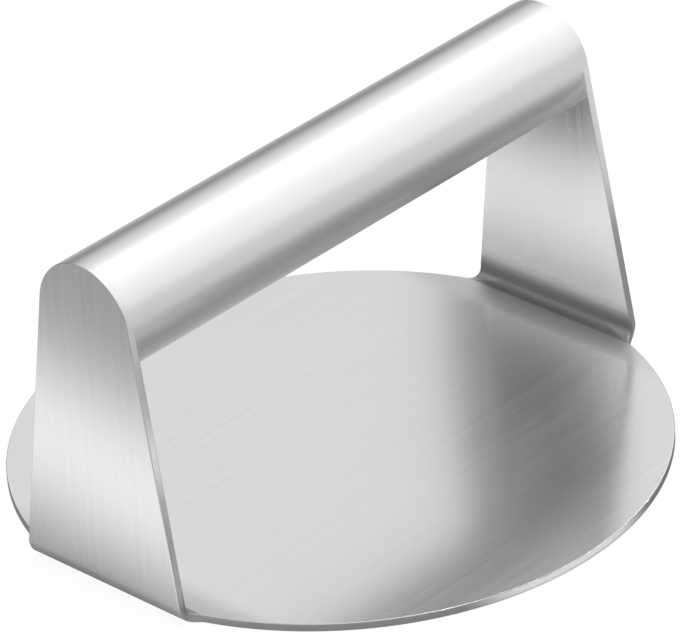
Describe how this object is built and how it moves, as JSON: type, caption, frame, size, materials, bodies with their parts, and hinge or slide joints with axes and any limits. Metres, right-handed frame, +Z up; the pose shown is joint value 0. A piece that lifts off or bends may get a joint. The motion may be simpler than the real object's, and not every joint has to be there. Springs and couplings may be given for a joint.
{
  "type": "burger press",
  "caption": "Flat round stainless plate with legs folded up from its edge and a tube handle welded between their tops, for pressing patties on a griddle.",
  "frame": {"origin": "centre of the plate's underside, which is the face it presses with and rests on", "axes": "+Z up, square to the plate; X along the handle, from one leg to the other; Y across the handle"},
  "size_m": [0.1406, 0.14, 0.0757],
  "materials": {
    "brushed_sheet": "straight brushed grain, along the handle's direction on the plate and up the legs",
    "satin_tube": "fine satin polish",
    "dressed_weld": "weld ground flush and blended into the tube and the leg"
  },
  "bodies": {
    "root": {"press_plate": "brushed_sheet", "handle_tube": "satin_tube", "weld_left": "dressed_weld", "weld_right": "dressed_weld"}
  },
  "joints": []
}
